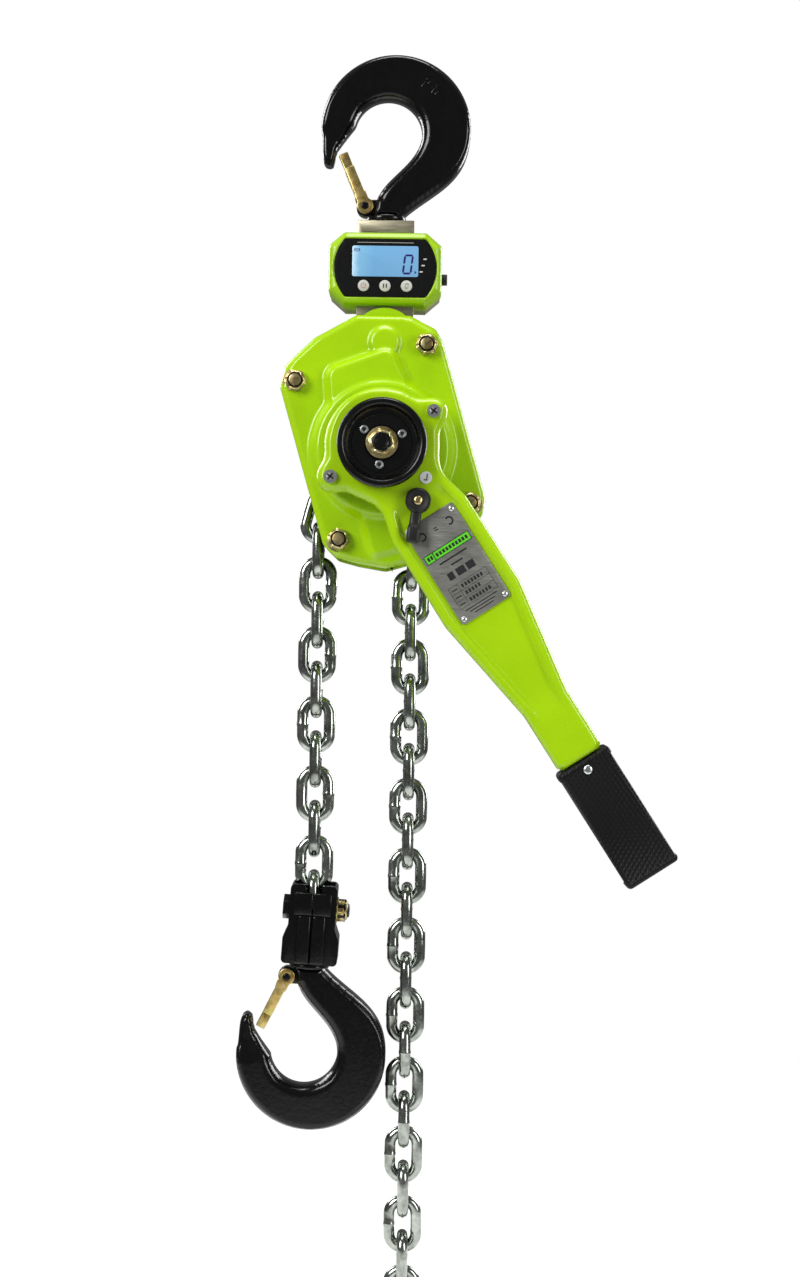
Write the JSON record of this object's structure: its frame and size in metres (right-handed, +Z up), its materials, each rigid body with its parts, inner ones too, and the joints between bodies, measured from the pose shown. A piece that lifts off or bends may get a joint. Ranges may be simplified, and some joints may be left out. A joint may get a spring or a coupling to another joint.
{
  "type": "lever chain hoist",
  "caption": "Lever chain hoist with an inline load indicator, a swivelling top hook, a load chain with a latched bottom hook, and a slack chain with a stop ring.",
  "frame": {"origin": "inner crown of the top hook, where the hoist hangs on its support", "axes": "+Z up along the hoist, -Y towards the hand wheel and lever, +X to the right seen from the lever side"},
  "size_m": [0.3671, 0.1905, 1.1094],
  "materials": {
    "forged_black": "black gloss enamel on a forging",
    "latch_plated": "yellow passivated sheet steel",
    "spring_steel": "bare spring steel",
    "cell_aluminium": "machined, grey-beige",
    "bearing_steel": "ground steel",
    "display_green": "lime green enamel on a cast cover",
    "display_rear": "grey-beige enamel on a cast cover",
    "panel_black": "printed keypad film",
    "lcd_glass": "backlit LCD window",
    "board": "circuit board with its battery",
    "key_grey": "light grey moulded key",
    "cap_black": "black knurled cap",
    "body_paint": "lime green gloss enamel on pressed steel",
    "plate_steel": "black painted plate",
    "bolt_gold": "yellow zinc plated steel",
    "chain_zinc": "bright zinc plated chain",
    "dark_steel": "oiled hardened steel",
    "friction": "moulded friction lining",
    "wheel_black": "black enamel hand wheel",
    "grip_rubber": "textured black rubber",
    "plate_aluminium": "printed aluminium plate",
    "screw_zinc": "bright zinc plated screws"
  },
  "bodies": {
    "top_hook": {"top_hook": "forged_black", "top_hook_nut": "bearing_steel", "swivel_thrust_bearing": "bearing_steel"},
    "top_latch": {"top_latch": "latch_plated", "top_latch_pin": "latch_plated", "top_latch_spring": "spring_steel"},
    "load_cell": {"load_cell_block": "cell_aluminium", "display_front_cover": "display_green", "display_rear_cover": "display_rear", "display_panel": "panel_black", "lcd_module": "lcd_glass", "display_electronics": "board", "display_screws": "screw_zinc"},
    "power_key": {"power_key": "key_grey"},
    "hold_key": {"hold_key": "key_grey"},
    "zero_key": {"zero_key": "key_grey"},
    "charge_cap": {"charge_port_cap": "cap_black"},
    "hoist_body": {"suspension_pin": "dark_steel", "front_side_plate": "plate_steel", "rear_side_plate": "plate_steel", "stay_bolts": "bolt_gold", "frame_nuts": "bolt_gold", "chain_guide": "plate_steel", "brake_cover": "body_paint", "gear_cover": "body_paint", "ratchet_disc": "dark_steel", "pawl_pins": "dark_steel", "sheave_bearings": "bearing_steel", "chain_transfer_links": "chain_zinc"},
    "brake_pawl_left": {"brake_pawl_left": "dark_steel"},
    "brake_pawl_right": {"brake_pawl_right": "dark_steel"},
    "sheave": {"load_sheave": "dark_steel", "load_gear": "dark_steel", "chain_on_sheave": "chain_zinc"},
    "gear_left": {"intermediate_gear_left": "dark_steel"},
    "gear_right": {"intermediate_gear_right": "dark_steel"},
    "shaft": {"pinion_shaft": "dark_steel", "change_gear": "dark_steel", "friction_discs": "friction", "brake_hub": "dark_steel", "hand_wheel": "wheel_black", "hand_wheel_fasteners": "bolt_gold"},
    "lever": {"lever_front_shell": "body_paint", "lever_rear_shell": "body_paint", "lever_grip": "grip_rubber", "nameplate": "plate_aluminium", "lever_screws": "screw_zinc"},
    "selector": {"selector_knob": "wheel_black", "selector_pawl": "dark_steel"},
    "chain_lead": {"load_chain_lead": "chain_zinc"},
    "load_chain": {"load_chain": "chain_zinc"},
    "slack_chain": {"slack_chain": "chain_zinc", "slack_chain_stop": "chain_zinc"},
    "yoke": {"yoke_left": "forged_black", "yoke_right": "forged_black", "yoke_bolt": "bolt_gold"},
    "bottom_hook": {"bottom_hook": "forged_black"},
    "bottom_latch": {"bottom_latch": "latch_plated", "bottom_latch_pin": "latch_plated", "bottom_latch_spring": "spring_steel"}
  },
  "joints": [
    {"name": "load_cell_swivel", "type": "hinge", "parent": "top_hook", "child": "load_cell", "pos_m": [0, 0, -0.12], "axis": [0, 0, 1], "continuous": true},
    {"name": "top_latch_pivot", "type": "hinge", "parent": "top_hook", "child": "top_latch", "pos_m": [-0.0182, 0, -0.0924], "axis": [0, 1, 0], "range_deg": [0, 45], "stiffness_Nm_per_rad": 0.2, "springref_deg": -28.65, "deforming": ["top_latch_spring"]},
    {"name": "power_key_press", "type": "slide", "parent": "load_cell", "child": "power_key", "axis": [0, 1, 0], "range_m": [0, 0.0005], "stiffness_N_per_m": 1500, "springref_m": -0.001},
    {"name": "hold_key_press", "type": "slide", "parent": "load_cell", "child": "hold_key", "axis": [0, 1, 0], "range_m": [0, 0.0005], "stiffness_N_per_m": 1500, "springref_m": -0.001},
    {"name": "zero_key_press", "type": "slide", "parent": "load_cell", "child": "zero_key", "axis": [0, 1, 0], "range_m": [0, 0.0005], "stiffness_N_per_m": 1500, "springref_m": -0.001},
    {"name": "charge_cap_pull", "type": "slide", "parent": "load_cell", "child": "charge_cap", "axis": [1, 0, 0], "range_m": [0, 0.01]},
    {"name": "hoist_rock", "type": "hinge", "parent": "load_cell", "child": "hoist_body", "pos_m": [0, 0, -0.2106], "axis": [0, 1, 0], "range_deg": [-20, 20]},
    {"name": "brake_pawl_left_pivot", "type": "hinge", "parent": "hoist_body", "child": "brake_pawl_left", "pos_m": [-0.04383, 0, -0.27855], "axis": [0, 1, 0], "range_deg": [0, 10], "stiffness_Nm_per_rad": 0.1, "springref_deg": -17.19},
    {"name": "brake_pawl_right_pivot", "type": "hinge", "parent": "hoist_body", "child": "brake_pawl_right", "pos_m": [0.04383, 0, -0.33065], "axis": [0, 1, 0], "range_deg": [0, 10], "stiffness_Nm_per_rad": 0.1, "springref_deg": -17.19},
    {"name": "chain_travel", "type": "slide", "parent": "hoist_body", "child": "chain_lead", "axis": [0, 0, 1], "range_m": [-0.06, 0], "deforming": ["chain_transfer_links"]},
    {"name": "sheave_spin", "type": "hinge", "parent": "hoist_body", "child": "sheave", "pos_m": [0, 0, -0.3046], "axis": [0, 1, 0], "range_deg": [-90.01, 0]},
    {"name": "gear_left_spin", "type": "hinge", "parent": "hoist_body", "child": "gear_left", "pos_m": [-0.03459, 0, -0.31458], "axis": [0, 1, 0], "range_deg": [0, 270.03]},
    {"name": "gear_right_spin", "type": "hinge", "parent": "hoist_body", "child": "gear_right", "pos_m": [0.03459, 0, -0.29462], "axis": [0, 1, 0], "range_deg": [0, 270.03]},
    {"name": "shaft_spin", "type": "hinge", "parent": "hoist_body", "child": "shaft", "pos_m": [0, 0, -0.3046], "axis": [0, 1, 0], "range_deg": [-810.1, 0]},
    {"name": "slack_travel", "type": "slide", "parent": "hoist_body", "child": "slack_chain", "axis": [0, 0, 1], "range_m": [0, 0.06001]},
    {"name": "load_chain_swing", "type": "hinge", "parent": "chain_lead", "child": "load_chain", "pos_m": [-0.0545, 0, -0.42821], "axis": [0, 1, 0], "range_deg": [0, 20]},
    {"name": "lever_swing", "type": "hinge", "parent": "hoist_body", "child": "lever", "pos_m": [0, 0, -0.3046], "axis": [0, 1, 0], "continuous": true},
    {"name": "selector_turn", "type": "hinge", "parent": "lever", "child": "selector", "pos_m": [0.03004, 0, -0.35068], "axis": [0, -1, 0], "range_deg": [0, 81]},
    {"name": "yoke_rock", "type": "hinge", "parent": "load_chain", "child": "yoke", "pos_m": [-0.0545, 0, -0.69706], "axis": [0.998, 0, -0.0628], "range_deg": [-15, 15]},
    {"name": "bottom_hook_swivel", "type": "hinge", "parent": "yoke", "child": "bottom_hook", "pos_m": [-0.06401, 0, -0.84816], "axis": [0.0628, 0, 0.998], "continuous": true},
    {"name": "bottom_latch_pivot", "type": "hinge", "parent": "bottom_hook", "child": "bottom_latch", "pos_m": [-0.07637, 0, -0.7548], "axis": [0, -1, 0], "range_deg": [0, 45], "stiffness_Nm_per_rad": 0.2, "springref_deg": -28.65, "deforming": ["bottom_latch_spring"]}
  ],
  "couplings": [
    {"joint": "sheave_spin", "follows": "chain_travel", "rad_per_m": 26.18},
    {"joint": "gear_left_spin", "follows": "chain_travel", "rad_per_m": -78.54},
    {"joint": "gear_right_spin", "follows": "chain_travel", "rad_per_m": -78.54},
    {"joint": "shaft_spin", "follows": "chain_travel", "rad_per_m": 235.62},
    {"joint": "slack_travel", "follows": "chain_travel", "ratio": -1}
  ]
}
